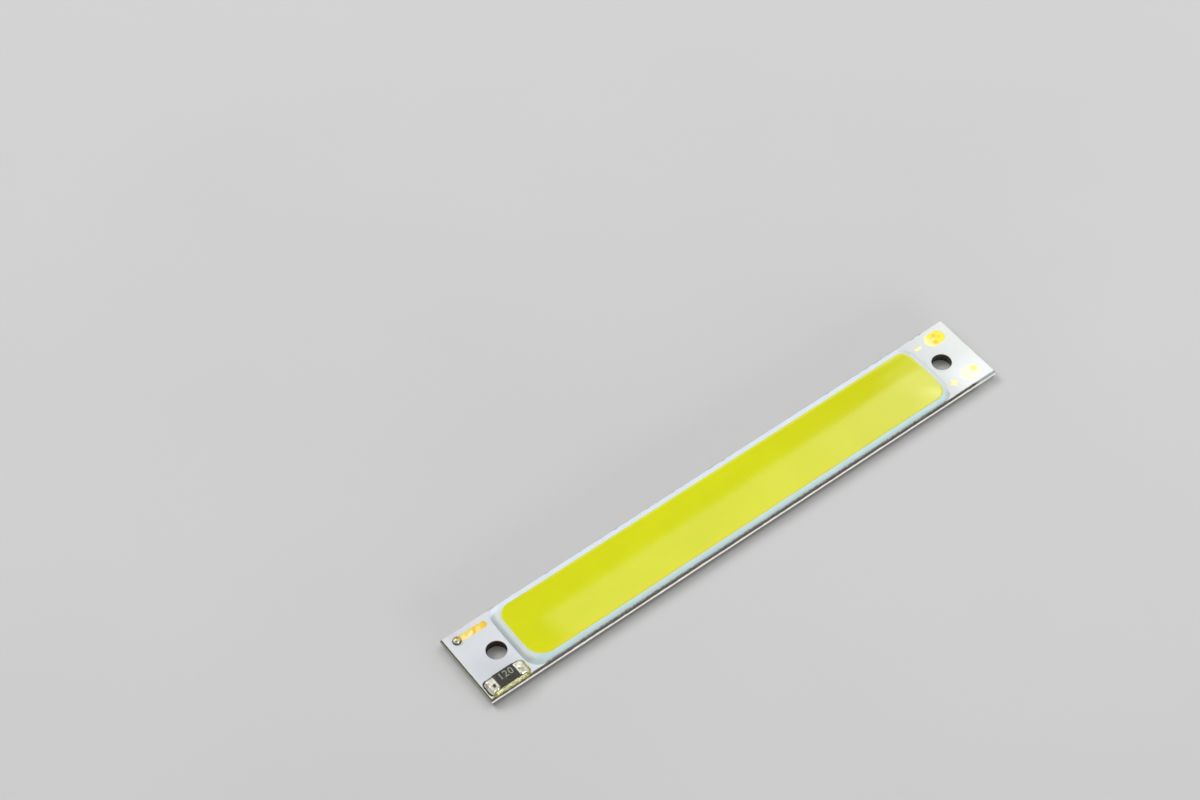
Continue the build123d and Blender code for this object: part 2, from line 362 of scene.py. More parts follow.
def silicone_material():
    """White silicone of the dam, with soft unevenness; its near side cool in tint and darkened as painted
    shade, painted shade on the left end's slope, painted light on the far side and the right end, and a near
    edge darkened by dirt and painted shade.
    """
    surface = Surface("white_silicone", {"IOR": 1.43})
    cloud = surface.noise(1.6)
    colour = surface.blend(cloud, (208, 217, 214), (216, 224, 219))
    # Painted shade on the near side: darker toward the foot, lighter toward the crest.
    low = surface.blend(cloud, (176, 198, 197), (188, 207, 207))
    high = surface.blend(cloud, (192, 218, 218), (202, 225, 224))
    near_side_shade = surface.mix(surface.between(surface.z, mask_top + 0.12, mask_top + 0.26), low, high)
    # Painted light on the far side: lighter and bluer.
    far_side_light = surface.blend(cloud, (221, 231, 245), (228, 238, 249))
    # Painted shade on the left end's outer slope.
    slope = surface.blend(cloud, (162, 173, 176), (174, 185, 187))
    at_left = surface.between(surface.x, -24.3, -24.5)
    at_slope = surface.times(at_left, surface.between(surface.z, mask_top + 0.24, mask_top + 0.1))
    colour = surface.mix(at_slope, colour, slope)
    colour = surface.mix(surface.between(surface.y, -2.6, -3.3), colour, near_side_shade)
    colour = surface.mix(surface.between(surface.y, 2.9, 3.5), colour, far_side_light)
    # Painted light at the right end, as light as the mask there.
    colour = surface.mix(surface.between(surface.x, 24.5, 24.9), colour, rgb(224, 230, 229))
    grain = surface.between(surface.noise(0.12, detail=2), 0.5, 0.75)
    colour = surface.mix(surface.times(grain, 0.25), colour, rgb(186, 204, 206))
    # Dirt and painted shade darken the near foot.
    colour = surface.mix(surface.times(near_rim_dirt_and_shade(surface, 3.85), 0.8), colour, rgb(112, 114, 106))
    surface.rough(surface.noise(0.8), 0.30, 0.42)
    surface.bump((surface.noise(0.9), 0.01), (surface.noise(0.12), 0.003))
    return surface.coloured(colour)


def phosphor_material():
    """Phosphor gel: lime yellow, glossy, with fine grain and slow changes of shade."""
    constants = {
        "IOR": 1.4,
        "Subsurface Weight": 0.15,
        "Subsurface Radius": (1.0, 0.9, 0.1),
        "Subsurface Scale": 0.25 * MM,
    }
    surface = Surface("phosphor_gel", constants)
    cloud = surface.noise(4.0, detail=4)
    colour = surface.blend(cloud, (217, 222, 3), (223, 227, 11))
    grain = surface.between(surface.noise(0.06, detail=2), 0.35, 0.75)
    colour = surface.mix(surface.times(grain, 0.12), colour, rgb(232, 229, 40))
    near_side = surface.between(surface.y, 1.0 - crest_y, 0.1 - crest_y)
    colour = surface.mix(surface.times(near_side, 0.6), colour, rgb(237, 222, 20))
    right_end = surface.between(surface.x, 0.0, 22.0)
    colour = surface.mix(surface.times(right_end, 0.7), colour, rgb(210, 212, 8))
    surface.rough(surface.noise(1.2), 0.035, 0.055)
    surface.bump((surface.noise(4.0), 0.003), (surface.noise(0.08), 0.0002))
    return surface.coloured(colour)


def gold_material():
    """Thin gold plating on copper: pale and deeper patches, and slanting wipe marks on the bare strip."""
    surface = Surface("gold_plating", {"Metallic": 0.5})
    cream, pale = rgb(255, 250, 205), rgb(255, 240, 165)
    yellow, orange = rgb(252, 218, 70), rgb(250, 180, 50)
    minus = surface.mix(surface.between(surface.x, 27.8, 27.1), yellow, pale)
    for x, y, radius, strength in (
        (28.13, 2.95, 0.22, 0.7),
        (27.8, 2.25, 0.26, 0.8),
        (28.5, 2.6, 0.2, 0.35),
    ):
        minus = surface.mix(surface.times(surface.spot(x, y, radius), strength), minus, orange)
    minus = surface.mix(surface.spot(27.8, 2.66, 0.16), minus, rgb(255, 226, 176))
    plus = surface.mix(surface.spot(28.6, -2.4, 0.36), cream, rgb(255, 242, 110))
    plus = surface.mix(surface.between(surface.noise(0.3), 0.62, 0.7), plus, pale)
    pads = surface.mix(surface.between(surface.y, -0.5, 0.5), plus, minus)
    pads = surface.mix(surface.between(surface.x, 26.7, 26.5), pads, rgb(255, 241, 160))
    slanted = surface.scaled(surface.x, 1.6, surface.times(surface.y, -0.9))
    wavy = surface.scaled(surface.noise(0.6), 3.0, surface.times(slanted, 2.6))
    wiped = surface.between(surface.math("SINE", wavy), 0.72, 0.95)
    strip = surface.ramp(surface.noise(0.5, detail=4), (0.40, yellow), (0.58, pale), (0.75, cream))
    strip = surface.mix(wiped, strip, rgb(248, 202, 48))
    inner_end = surface.between(surface.scaled(surface.noise(0.4), 0.5, surface.x), -26.2, -25.7)
    strip = surface.mix(inner_end, strip, rgb(248, 204, 50))
    on_strip = surface.between(surface.x, -24.5, -25.0)
    surface.rough(surface.noise(0.3), 0.26, 0.42)
    surface.bump((surface.noise(0.12), 0.004), (surface.noise(0.03), 0.001))
    return surface.coloured(surface.mix(on_strip, pads, strip))


def aluminium_material():
    """Aluminium core: machined score faces darkened by dirt and painted shade, a pale torn web between them,
    and hole walls with brown tarnish, darkened further by painted shade.
    """
    surface = Surface("aluminium_core", {"Metallic": 0.35})
    streaks = surface.noise(0.5, detail=4, stretch=(1, 1, 6))
    torn, bright, pale = rgb(196, 190, 174), rgb(250, 246, 234), rgb(255, 253, 246)
    web = surface.ramp(streaks, (0.28, torn), (0.40, bright), (0.7, pale))
    # Dark score faces: dirt and painted shade.
    score_dirt_and_shade = surface.blend(streaks, (18, 17, 14), (42, 39, 33))
    score_dirt_and_shade = surface.mix(surface.between(surface.x, 27.3, 28.3), score_dirt_and_shade, rgb(150, 160, 164))
    above = surface.between(surface.z, web_top - 0.12, web_top - 0.06)
    below = surface.between(surface.z, lower_score_depth + 0.03, lower_score_depth - 0.03)
    colour = surface.mix(surface.math("MAXIMUM", above, below), web, score_dirt_and_shade)
    past_end = surface.minus(surface.math("ABSOLUTE", surface.x), half_length)
    past_side = surface.minus(surface.math("ABSOLUTE", surface.y), half_width)
    at_end = surface.between(surface.minus(past_end, past_side), -0.02, 0.02)
    end_face = surface.blend(streaks, (134, 138, 112), (178, 182, 154))
    colour = surface.mix(surface.times(at_end, 0.85), colour, end_face)
    # Hole walls: brown tarnish, made darker as painted shade inside the holes.
    brown, olive = ((40, 28, 18), (112, 80, 46)), ((60, 58, 46), (110, 106, 88))
    for x, shades in ((-hole_x, brown), (hole_x, olive)):
        in_hole = surface.between(surface.away_from(x, 0), hole_radius + 0.15, hole_radius + 0.08)
        colour = surface.mix(in_hole, colour, surface.blend(surface.noise(0.2), *shades))
    surface.rough(streaks, 0.32, 0.55)
    surface.bump((streaks, 0.012), (surface.noise(0.06), 0.004))
    return surface.coloured(colour)


def dielectric_material():
    """Filled epoxy between the aluminium and the copper, dark with dirt and with painted shade under the
    mask's edge.
    """
    surface = Surface("dielectric", {})
    # Dark epoxy: partly dirt, partly painted shade under the mask's edge.
    colour = surface.blend(surface.noise(0.3), (48, 46, 39), (84, 81, 70))
    colour = surface.mix(surface.between(surface.x, 27.3, 28.3), colour, rgb(150, 158, 160))
    surface.rough(surface.noise(0.2), 0.5, 0.7)
    surface.bump((surface.noise(0.08), 0.003))
    return surface.coloured(colour)


def solder_material():
    """Pale, satin solder with dull spots, a trace of old flux, a painted highlight on the right joint and
    painted shade in the left joint's pit. The lump on the strip is gilt and has a dark rim."""
    surface = Surface("solder", {"Metallic": 0.55})
    spots = surface.noise(0.3, detail=3, roughness=0.55)
    stained, dull, bright = rgb(126, 112, 66), rgb(206, 203, 184), rgb(240, 240, 230)
    colour = surface.ramp(spots, (0.30, stained), (0.40, dull), (0.62, bright))
    for x, y, radius, strength, tint in (
        (-29.45, -2.75, 0.22, 0.55, (176, 150, 92)),
        # Painted shade in the left joint's pit.
        (-29.05, -3.15, 0.20, 0.90, (60, 54, 34)),
        (-26.00, -3.32, 0.24, 0.70, (150, 150, 112)),
        (-26.25, -3.05, 0.12, 0.80, (84, 78, 44)),
        # Painted highlight on the right joint.
        (-25.75, -2.63, 0.20, 1.00, (255, 255, 252)),
        (-28.80, 3.08, 0.34, 0.90, (176, 152, 48)),
        (-28.62, 3.28, 0.16, 0.70, (92, 80, 36)),
    ):
        colour = surface.mix(surface.times(surface.spot(x, y, radius), strength), colour, rgb(*tint))
    past_x, past_y = surface.between(surface.x, -28.0, -28.2), surface.between(surface.y, 2.0, 2.2)
    rim = surface.times(surface.times(past_x, past_y), surface.between(surface.z, 1.26, 1.12))
    colour = surface.mix(rim, colour, rgb(66, 60, 36))
    surface.rough(surface.noise(0.15), 0.24, 0.42)
    surface.bump((surface.noise(0.3), 0.012), (surface.noise(0.04), 0.001))
    return surface.coloured(colour)


def tin_material():
    """Plated caps of the resistor."""
    surface = Surface("tin_plating", {"Metallic": 1.0})
    colour = surface.blend(surface.noise(0.3), (196, 196, 188), (226, 226, 222))
    surface.rough(surface.noise(0.12), 0.26, 0.42)
    surface.bump((surface.noise(0.1), 0.006))
    return surface.coloured(colour)


def ceramic_material():
    """The resistor's ceramic body, darkened by flux and by painted shade."""
    surface = Surface("alumina", {})
    # Dark: flux stain and painted shade on the body's sides.
    colour = surface.blend(surface.noise(0.25), (34, 35, 31), (62, 63, 56))
    surface.rough(surface.noise(0.1), 0.4, 0.6)
    surface.bump((surface.noise(0.06), 0.004))
    return surface.coloured(colour)


def overcoat_material():
    """Black glass over the resistor's film, slightly rubbed."""
    surface = Surface("black_overcoat", {})
    rubbed = surface.noise(0.3, stretch=(1, 0.4, 1))
    colour = surface.blend(rubbed, (36, 36, 31), (60, 59, 50), 0.35, 0.7)
    surface.rough(surface.noise(0.15), 0.25, 0.4)
    surface.bump((surface.noise(0.09), 0.003))
    return surface.coloured(colour)


def ink_material():
    """Grey printing ink of the resistor's value."""
    surface = Surface("grey_ink", {})
    colour = surface.blend(surface.noise(0.12), (118, 120, 104), (170, 172, 152))
    surface.rough(surface.noise(0.1), 0.45, 0.6)
    return surface.coloured(colour)


def flux_material():
    """Set flux: yellow-green at the board's edge and by the inner joint, and dark brown elsewhere, partly
    burnt flux and partly painted shade round the resistor.
    """
    surface = Surface("flux", {"IOR": 1.5, "Transmission Weight": 0.1})
    bright = surface.blend(surface.noise(0.22, detail=4), (102, 100, 42), (198, 196, 104), 0.32, 0.62)
    # Dark brown line: partly burnt flux, partly painted shade round the resistor.
    burnt_flux_and_shade = surface.blend(surface.noise(0.3), (30, 27, 18), (58, 52, 34))
    near_side = surface.between(surface.y, resistor_y - 0.66, resistor_y - 0.76)
    inner_end = surface.between(surface.x, resistor_x + 1.75, resistor_x + 1.9)
    surface.rough(surface.noise(0.2), 0.06, 0.16)
    surface.bump((surface.noise(0.25), 0.02), (surface.noise(0.07), 0.003))
    return surface.coloured(surface.mix(surface.math("MAXIMUM", near_side, inner_end), burnt_flux_and_shade, bright))


def chip_material():
    """Sapphire and metal of the chips under the gel."""
    surface = Surface("led_chip", {"IOR": 1.7})
    colour = surface.blend(surface.noise(0.3), (150, 166, 190), (186, 198, 214))
    surface.rough(surface.noise(0.1), 0.1, 0.2)
    return surface.coloured(colour)


# The board's layers


def edge_columns():
    """Places round the board's edge, anticlockwise: point, direction outwards, and distance so far."""
    corners = [Vector((x * half_length, y * half_width)) for x, y in ((-1, -1), (1, -1), (1, 1), (-1, 1))]
    columns, so_far = [], 0.0
    outwards_before = Vector((-1, 0))
    for start, end in zip(corners, corners[1:] + corners[:1]):
        side = end - start
        outwards = Vector((side.y, -side.x)).normalized()
        steps = round(side.length / edge_step)
        for i in range(steps):
            away = outwards + outwards_before if i == 0 else outwards
            columns.append((start + side * i / steps, away, so_far + side.length * i / steps))
        so_far += side.length
        outwards_before = outwards
    return columns


def torn_away(along, height, at_end):
    """How far the broken web and the chipped upper rim fall short of the board's full size."""
    above_score = smooth_step(lower_score_depth - 0.02, lower_score_depth + 0.05, height)
    on_web = above_score * smooth_step(web_top + 0.02, web_top - 0.05, height)
    torn = 0.016 + 0.02 * ripple(along, height, size=1.7)
    torn += 0.026 * ripple(along, 3 * height, size=0.4, seed=5)
    chipped = max(0.0, ripple(along, size=0.6, seed=9) - 0.1) * 0.10
    chipped += 0.008 * ripple(along, size=0.25, seed=3)
    in_corner = smooth_step(*corner_chip_start, along) * smooth_step(*corner_chip_end, along)
    chipped += corner_chip_depth * in_corner
    at_rim = smooth_step(web_top, mask_top, height)
    return max(0.0, (end_wear if at_end else 1.0) * (on_web * torn + at_rim * chipped))


def edge_point(column, height):
    """A point of the board's edge at a given height: score faces above and below, and a torn web between."""
    point, outwards, along = column
    beyond_web = max(0.0, height - web_top, lower_score_depth - height)
    inset = beyond_web * score_slope + torn_away(along, height, abs(outwards.x) > 0.5)
    x, y = point - outwards * inset
    return x, y, height


def hole_ring(side, height, radius):
    """A ring of points round a screw hole."""
    turns = [2 * math.pi * i / 96 for i in range(96)]
    return [(side * hole_x + radius * math.cos(t), radius * math.sin(t), height) for t in turns]


def board_slab(heights, hole_profile):
    """A layer of the board with its edge at the given heights. The profile gives heights and radii of the
    holes."""
    shape = bmesh.new()
    columns = edge_columns()
    outer = loft(shape, [[edge_point(column, z) for column in columns] for z in heights])
    holes = [loft(shape, [hole_ring(side, z, r) for z, r in hole_profile]) for side in (-1, 1)]
    fill(shape, [outer[0], *[rings[0] for rings in holes]])
    fill(shape, [outer[-1], *[rings[-1] for rings in holes]])
    return shape


def add_core(material):
    """The aluminium core."""
    heights = [0, 0.14, 0.28, 0.36, 0.4, 0.45, 0.5, 0.56, 0.62, 0.68, 0.74, 0.79, web_top, 0.84, base_top]
    burr = [(0, hole_radius + 0.03), (0.04, hole_radius), (base_top, hole_radius)]
    add_piece("core", board_slab(heights, burr), material, "aluminium_core", "aluminium_base")


def add_dielectric(material):
    """The insulating layer."""
    heights = [base_top, (base_top + mask_floor) / 2, mask_floor]
    wall = [(base_top, hole_radius), (mask_floor, hole_radius)]
    add_piece("insulation", board_slab(heights, wall), material, "dielectric", "dielectric_layer")


def along_edge(x, y):
    """The distance round the board's edge, anticlockwise from its near left corner, to a point near it."""
    gaps = (half_width + y, half_length - x, half_width - y, half_length + x)
    side = gaps.index(min(gaps))
    start = (0, 2 * half_length, 2 * (half_length + half_width), 4 * half_length + 2 * half_width)[side]
    return start + (half_length + x, half_width + y, half_length - x, half_width - y)[side]


def on_edge(vertex):
    """Whether a vertex of the mask lies on its outer rim."""
    return half_length - abs(vertex.co.x) < rim_width or half_width - abs(vertex.co.y) < rim_width


def at_hole(vertex):
    """Whether a vertex of the mask lies on a screw hole."""
    return math.hypot(abs(vertex.co.x) - hole_x, vertex.co.y) < hole_radius + 0.02


def at_level(part, z):
    """Whether an edge or face of the mask lies at a given height."""
    return all(abs(vertex.co.z - z) < 1e-4 for vertex in part.verts)


def place_round(vertex):
    """The distance of a vertex round the rim, from a start that lies between two vertices."""
    return (along_edge(*vertex.co.xy) + 0.5) % (4 * half_length + 4 * half_width)


def divide_rim(shape):
    """Cuts the mask's long outer edges into short steps, and joins upper to lower ones by quads."""
    for axis, cuts in ((0, 479), (1, 59)):
        long_edges = []
        for edge in shape.edges:
            span = edge.verts[1].co - edge.verts[0].co
            straight = abs(span[axis]) > 1 and abs(span[1 - axis]) < 0.5 and abs(span.z) < 1e-4
            if straight and all(on_edge(v) for v in edge.verts):
                long_edges.append(edge)
        bmesh.ops.subdivide_edges(shape, edges=long_edges, cuts=cuts)
    middle = (mask_floor + mask_top) / 2
    upper, lower = [
        sorted([v for v in shape.verts if on_edge(v) and (v.co.z > middle) == above], key=place_round)
        for above in (True, False)
    ]
    in_rim = [face for face in shape.faces if all(on_edge(v) for v in face.verts)]
    sloping = [face for face in in_rim if len({v.co.z > middle for v in face.verts}) == 2]
    bmesh.ops.delete(shape, geom=sloping, context="FACES")
    for i in range(len(upper)):
        shape.faces.new((upper[i - 1], upper[i], lower[i], lower[i - 1]))


def wear(vertex):
    """Moves a vertex of the mask: onto a true circle at a hole, and inwards where the rim is chipped."""
    x, y, z = vertex.co
    if at_hole(vertex):
        side = math.copysign(hole_x, x)
        out = Vector((x - side, y)).normalized() * hole_radius
        vertex.co = (side + out.x, out.y, z)
    elif on_edge(vertex):
        gap_x, gap_y = half_length - abs(x), half_width - abs(y)
        inset = torn_away(along_edge(x, y), z, gap_x < gap_y)
        if gap_x < rim_width:
            vertex.co.x -= math.copysign(inset, x)
        if gap_y < rim_width:
            vertex.co.y -= math.copysign(inset, y)


def add_mask(material):
    """The white mask: the CAD layer with a chipped outer rim and round holes."""
    shape = bmesh.new()
    shape.from_mesh(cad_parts["solder_mask"].data)
    bmesh.ops.scale(shape, vec=(1 / MM,) * 3, verts=shape.verts)
    bmesh.ops.remove_doubles(shape, verts=shape.verts, dist=1e-5)
    divide_rim(shape)
    hole_edges = [edge for edge in shape.edges if all(at_hole(v) for v in edge.verts)]
    rounds = [edge for edge in hole_edges if at_level(edge, mask_floor) or at_level(edge, mask_top)]
    bmesh.ops.subdivide_edges(shape, edges=rounds, cuts=3)
    flat = [face for face in shape.faces if at_level(face, mask_floor) or at_level(face, mask_top)]
    bmesh.ops.delete(shape, geom=flat, context="FACES")
    for vertex in shape.verts:
        wear(vertex)
    for z in (mask_floor, mask_top):
        rims = [edge for edge in shape.edges if at_level(edge, z) and len(edge.link_faces) == 1]
        bmesh.ops.triangle_fill(shape, edges=rims, use_beauty=True)
    add_piece("mask", shape, material, "white_mask", "solder_mask", sharp_angle=30)


# The light field


def end_curve(across, tip, bulge, near_radius, far_radius):
    """The right end of a line round the light field, from its near side to its far side: points and outward
    directions. Both corners are round, and the end between them bows out."""
    big = (across**2 + bulge**2) / (2 * bulge)
    big_x = tip - big
    corners = []
    for sign, radius in ((-1, near_radius), (1, far_radius)):
        y = sign * (across - radius)
        x = big_x + math.sqrt((big - radius) ** 2 - y**2)
        corners.append((x, y, radius, math.atan2(y, x - big_x)))
    curve = []

    def arc(x, y, radius, start, end, steps):
        for i in range(steps):
            turn = start + (end - start) * i / steps
            out = Vector((math.cos(turn), math.sin(turn)))
            curve.append((Vector((x, y)) + out * radius, out))

    (near_x, near_y, near_r, near_turn), (far_x, far_y, far_r, far_turn) = corners
    arc(near_x, near_y, near_r, -math.pi / 2, near_turn, 20)
    arc(big_x, 0.0, big, near_turn, far_turn, 24)
    arc(far_x, far_y, far_r, far_turn, math.pi / 2, 20)
    curve.append((Vector((far_x, far_y + far_r)), Vector((0, 1))))
    return curve


def field_line(across, left_end, right_end):
    """A closed line round the light field, anticlockwise from its right end's near corner. All such lines
    have as many points."""
    right = end_curve(across, *right_end)
    left = end_curve(across, *left_end)
    left = [(Vector((-p.x, p.y)), Vector((-out.x, out.y))) for p, out in reversed(left)]
    line = []
    for curve, following in ((right, left), (left, right)):
        line += curve
        start, end, out = curve[-1][0], following[0][0], curve[-1][1]
        line += [(start.lerp(end, i / side_steps), out) for i in range(1, side_steps)]
    return line


def wander(point, seed):
    """How far the hand-laid bead strays sideways at a point."""
    slow = ripple(point.x, point.y, size=3.0, seed=seed)
    return 0.014 * slow + 0.007 * ripple(point.x, point.y, size=0.9, seed=seed)


def bead_rise(share, at_left, at_right):
    """The bead's height as a share of its full height, at a place from its crest, 0, to a foot, 1. It is
    round along the sides, a steadier slope at the left end, and thins out softly at the right end."""
    share = min(1.0, abs(share))
    round_top = (1 - share**2) ** 0.6
    slope = (1 - share**1.25) ** 0.85
    soft = 0.5 + 0.5 * math.cos(math.pi * share)
    return round_top + at_left * (slope - round_top) + at_right * (soft - round_top)


def add_dam(material):
    """The silicone bead, laid by a needle: its width, height and line vary a little."""
    shape = bmesh.new()
    steps = 20
    rings = [[] for _ in range(steps + 1)]
    height = dam_high.z - mask_top
    feet = field_line(foot_y, foot_left_end, foot_right_end)
    crests = field_line(crest_y, crest_left_end, crest_right_end)
    for (foot, _), (crest, out) in zip(feet, crests):
        foot = foot + out * wander(foot, 2)
        tall = height * (0.985 + 0.015 * ripple(crest.x, crest.y, size=2.4, seed=3))
        at_left, at_right = smooth_step(0.2, 0.9, -out.x), smooth_step(0.2, 0.9, out.x)
        for i, ring in enumerate(rings):
            share = math.cos(math.pi * i / steps)
            place = crest.lerp(foot, share) if share > 0 else crest + out * bead_half * share
            outside = share > 0
            ring.append((*place, mask_top + tall * bead_rise(share, outside * at_left, outside * at_right)))
    loft(shape, rings, closed=True)
    add_piece("dam_bead", shape, material, "white_silicone", "silicone_dam")


def gel_surface(x, y, to_rim):
    """The height of the gel's surface, with the distance to its rim."""
    crown = gel_crown * (1 - (y / crest_y) ** 2) * (1 - math.exp(-to_rim / 0.8))
    climb = 0.006 * math.exp(-to_rim / 0.15)
    return dam_high.z - gel_edge_drop + crown + climb + 0.0015 * ripple(x, y, size=6.0, seed=4)


def add_gel(material):
    """The gel: a glossy, slightly crowned surface that climbs a little where it meets the dam."""
    crests = field_line(crest_y, crest_left_end, crest_right_end)
    outline = []
    for point, out in crests:
        inset = gel_inset + (gel_near_inset - gel_inset) * max(0.0, -out.y)
        outline.append(point - out * (inset + wander(point, 6)))
    right = sorted([p for p in outline if p.x > 0], key=lambda p: p.y)
    left = sorted([p for p in outline if p.x < 0], key=lambda p: p.y)

    ends_from = 20

    def reach(points, y, sign):
        """The outline's X at a given Y, at one end."""
        curve = [p for p in points if abs(p.x) > ends_from]
        for one, two in zip(curve, curve[1:]):
            if one.y <= y <= two.y and two.y > one.y:
                return one.x + (two.x - one.x) * (y - one.y) / (two.y - one.y)
        return sign * ends_from

    near_rim, far_rim = gel_near_inset - crest_y, crest_y - gel_inset
    rows, steps = 44, 220
    rings = []
    for j in range(rows + 1):
        y = near_rim + (far_rim - near_rim) * (0.5 - 0.4995 * math.cos(math.pi * j / rows))
        low, high = reach(left, y, -1), reach(right, y, 1)
        ring = []
        for i in range(steps + 1):
            share = 0.5 - 0.5 * math.cos(math.pi * i / steps)
            share = 0.6 * share + 0.4 * i / steps
            x = low + (high - low) * share
            to_rim = min(x - low, high - x, y - near_rim, far_rim - y)
            ring.append((x, y, gel_surface(x, y, to_rim)))
        rings.append(ring)
    shape = bmesh.new()
    close_below(shape, loft(shape, rings, around=False), mask_top + gel_floor)
    add_piece("gel_field", shape, material, "phosphor_gel", "phosphor_gel", sharp_angle=60)


# The resistor, its solder and its flux


def height_field(u_steps, v_steps, place, floor):
    """A closed block whose top is given by a function of two shares from 0 to 1."""
    rings = [[place(i / u_steps, j / v_steps) for i in range(u_steps + 1)] for j in range(v_steps + 1)]
    shape = bmesh.new()
    close_below(shape, loft(shape, rings, around=False), floor)
    return shape


def rounded_block(low, high, radius, rough, cuts=10):
    """A block with round edges and a slightly uneven surface."""
    shape = bmesh.new()
    bmesh.ops.create_cube(shape, size=1.0)
    size, centre = high - low, (low + high) / 2
    for vertex in shape.verts:
        vertex.co = centre + Vector([a * b for a, b in zip(vertex.co, size)])
    bmesh.ops.bevel(shape, geom=shape.edges[:], offset=radius, segments=3, profile=0.5, affect="EDGES")
    bmesh.ops.subdivide_edges(shape, edges=shape.edges[:], cuts=cuts, use_grid_fill=True)
    for vertex in shape.verts:
        inwards = (centre - vertex.co).normalized()
        vertex.co += inwards * rough * (0.5 + 0.5 * ripple(*vertex.co, size=0.2, seed=7))
    return shape


def add_resistor(ceramic, overcoat, tin, ink):
    """The chip resistor: ceramic body, plated caps, black overcoat and a plain printed number."""
    inset = Vector((0.30, 0.05, 0))
    body = rounded_block(body_low + inset, body_high - inset - Vector((0, 0, 0.08)), 0.03, 0.01)
    add_piece("chip_body", body, ceramic, "alumina", "resistor_body")
    for name in ("left", "right"):
        low, high = box_mm("resistor_cap_" + name)
        inset = Vector((0.05, 0.10, 0))
        cap = rounded_block(low + inset, high - inset - Vector((0, 0, 0.22)), 0.06, 0.02)
        add_piece("cap_" + name, cap, tin, "tin_plating", "resistor_cap_" + name)
    size = overcoat_high - overcoat_low
    top = overcoat_high.z - 0.006

    def coat(u, v):
        edge = min(u, 1 - u) * size.x, min(v, 1 - v) * size.y
        fall = 0.035 * math.exp(-min(edge) / 0.05)
        x, y = overcoat_low.x + u * size.x, overcoat_low.y + v * size.y
        return x, y, top - fall - 0.002 * (1 + ripple(x, y, size=0.5, seed=8))

    shape = height_field(60, 40, coat, overcoat_low.z - 0.10)
    add_piece("overcoat", shape, overcoat, "black_overcoat", "resistor_overcoat")
    text = bpy.data.curves.new("value_digits", "FONT")
    text.body = "120"
    text.align_x = text.align_y = "CENTER"
    text.size = 0.98 * MM
    text.space_character = 1.1
    text.offset = 0.008 * MM
    text.extrude = 0.002 * MM
    text.materials.append(ink)
    digits = new_object("value_digits", text)
    digits.location = Vector((resistor_x + 0.05, resistor_y + 0.16, top + 0.001)) * MM
    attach(digits, "root")


def add_joint(name, side, material):
    """The solder at one end: a plump lump that buries the cap, a little lower at its inner edge and sides,
    and with a rounded toe. The left one has a pit."""
    start, toe = cap_low.x - resistor_x - 0.04, joint_high.x - resistor_x + 0.08
    half = body_half_width + 0.01
    corner = 0.45
    crown, toe_top = cap_high.z - 0.03, copper_top + 0.08
    pit_depth = 0.20

    def solder(u, v):
        out, across = start + (toe - start) * u, half * (2 * v - 1)
        past_corner = max(0.0, abs(across) - (half - corner)), max(0.0, out - (toe - corner))
        if min(past_corner) > 0:
            spill = max(0.0, math.hypot(*past_corner) - corner)
            out -= spill * past_corner[1] / math.hypot(*past_corner)
            across -= math.copysign(spill * past_corner[0] / math.hypot(*past_corner), across)
        past_corner = max(0.0, abs(across) - (half - corner)), max(0.0, out - (toe - corner))
        to_toe = max(0.0, corner - math.hypot(*past_corner))
        to_side, to_start = half - abs(across), out - start
        fall = (1 - min(1.0, to_toe / 0.36)) ** 2.6
        side_fall = 0.10 * (1 - min(1.0, to_side / 0.2)) ** 2
        inner_fall = 0.05 * (1 - min(1.0, to_start / 0.14)) ** 2
        x, y = resistor_x + side * out, resistor_y + across
        lump = 0.04 * ripple(x, y, size=0.5, seed=11) + 0.008 * ripple(x, y, size=0.2, seed=12)
        z = crown - (crown - toe_top) * min(1.0, fall + side_fall + inner_fall) + lump * (1 - 0.6 * fall)
        if side < 0:
            z -= pit_depth * math.exp(-(((out - 1.50) / 0.12) ** 2 + ((across + 0.42) / 0.15) ** 2))
        return x, y, max(copper_top + 0.03, min(z, cad_high.z / MM - 0.004))

    shape = height_field(48, 72, solder, copper_top)
    add_piece(name, shape, material, "solder", "solder_" + name, sharp_angle=70)


def add_dome(material):
    """The lump of solder on the bare strip's outer end."""
    centre = (dome_low + dome_high) / 2
    radius, height = (dome_high.x - dome_low.x) / 2 + 0.05, dome_high.z - copper_top + 0.03
    levels, turns = 24, 48
    rings = []
    for j in range(levels + 1):
        tilt = math.pi / 2 * j / levels
        ring = []
        for i in range(turns):
            turn = 2 * math.pi * i / turns
            way = Vector((math.cos(turn) * math.cos(tilt), math.sin(turn) * math.cos(tilt), math.sin(tilt)))
            dent = 1 - 0.06 * (1 + ripple(*way, size=0.8, seed=13)) - 0.015 * (1 + ripple(*way, size=0.35))
            x, y = centre.x + radius * dent * way.x, centre.y + radius * dent * way.y
            ring.append((x, y, copper_top + height * dent * way.z))
        rings.append(ring)
    shape = bmesh.new()
    made = loft(shape, rings[:-1])
    tip = shape.verts.new(rings[-1][0])
    for i in range(turns):
        shape.faces.new((made[-1][i], made[-1][(i + 1) % turns], tip))
    shape.faces.new(made[0])
    add_piece("solder_lump", shape, material, "solder", "solder_dome", sharp_angle=70)


